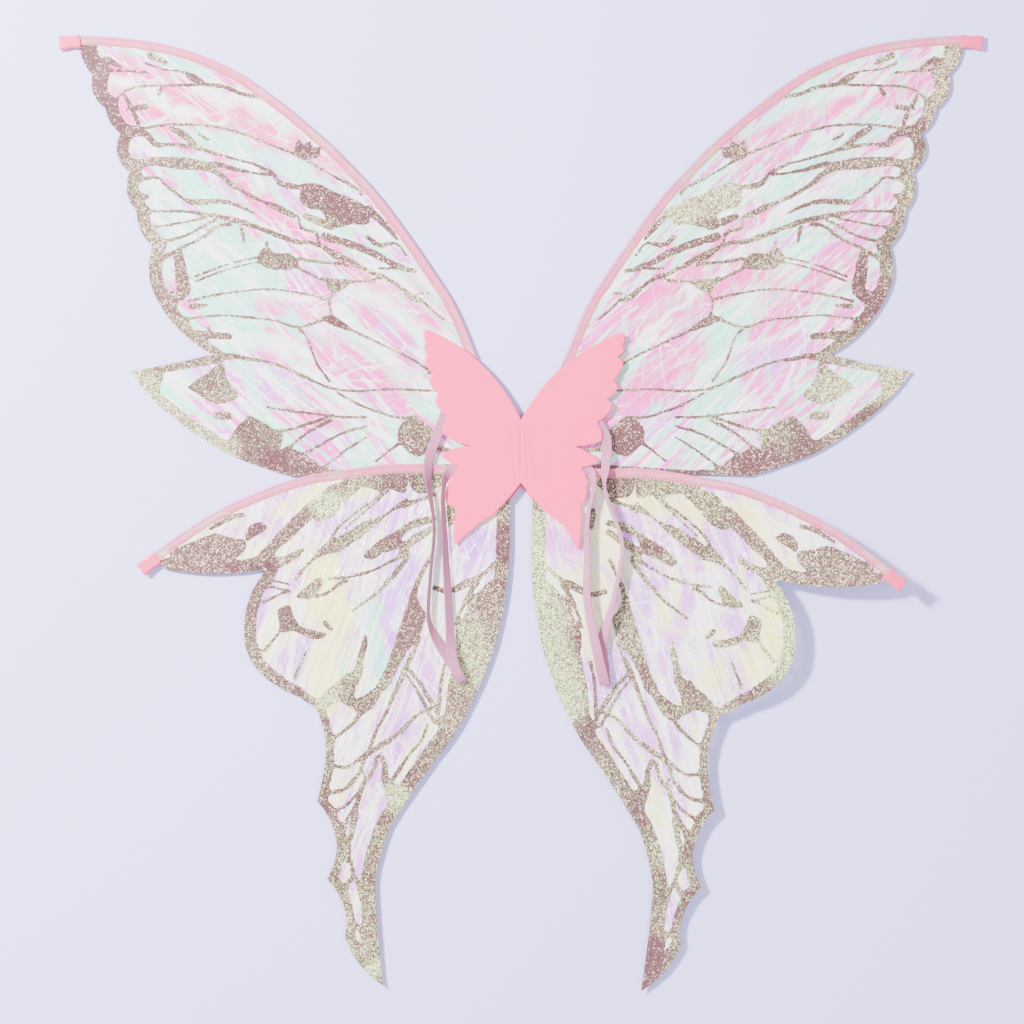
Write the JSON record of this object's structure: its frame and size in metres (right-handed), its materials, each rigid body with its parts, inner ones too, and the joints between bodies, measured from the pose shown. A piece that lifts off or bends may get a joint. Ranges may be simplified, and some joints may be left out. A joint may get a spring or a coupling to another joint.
{
  "type": "fairy wings",
  "caption": "Costume wings: hemmed clear film forewings and hindwings that fold on a felt butterfly patch with elastic shoulder straps.",
  "frame": {"origin": "centre of the bounding box in plan, on the plane the rear cover rests on", "axes": "+Y towards the forewing tips, +X towards the right wings as seen from the strap side, +Z out of the strap side, away from the surface"},
  "size_m": [0.9252, 0.9576, 0.0326],
  "materials": {
    "felt": "soft pink felt",
    "board": "stiff white sheet",
    "elastic": "ribbed mauve elastic",
    "forewing_film": "clear iridescent film with a glitter print",
    "hindwing_film": "clear iridescent film with a glitter print",
    "wire": "drawn spring wire",
    "ribbon": "sheer pink organza ribbon",
    "tab_ribbon": "folded pink ribbon",
    "cap": "soft rubber",
    "tape": "clear tape"
  },
  "bodies": {
    "centre": {"front_cover": "felt", "rear_cover": "felt", "centre_pad": "felt"},
    "left_wing": {"left_board": "board", "left_strap": "elastic", "left_forewing_film": "forewing_film", "left_forewing_wire": "wire", "left_forewing_hem": "ribbon", "left_forewing_tip_tab": "tab_ribbon", "left_forewing_wire_cap": "cap", "left_forewing_root_tape": "tape", "left_hindwing_film": "hindwing_film", "left_hindwing_wire": "wire", "left_hindwing_hem": "ribbon", "left_hindwing_tip_tab": "tab_ribbon", "left_hindwing_wire_cap": "cap", "left_hindwing_root_tape": "tape"},
    "right_wing": {"right_board": "board", "right_strap": "elastic", "right_forewing_film": "forewing_film", "right_forewing_wire": "wire", "right_forewing_hem": "ribbon", "right_forewing_tip_tab": "tab_ribbon", "right_forewing_wire_cap": "cap", "right_forewing_root_tape": "tape", "right_hindwing_film": "hindwing_film", "right_hindwing_wire": "wire", "right_hindwing_hem": "ribbon", "right_hindwing_tip_tab": "tab_ribbon", "right_hindwing_wire_cap": "cap", "right_hindwing_root_tape": "tape"}
  },
  "joints": [
    {"name": "left_fold", "type": "hinge", "parent": "centre", "child": "left_wing", "pos_m": [-0.008, 0.059, 0.004], "axis": [0, 1, 0], "range_deg": [-80, 80], "deforming": ["front_cover", "rear_cover"]},
    {"name": "right_fold", "type": "hinge", "parent": "centre", "child": "right_wing", "pos_m": [0.008, 0.059, 0.004], "axis": [0, -1, 0], "range_deg": [-80, 80], "deforming": ["front_cover", "rear_cover"]}
  ]
}
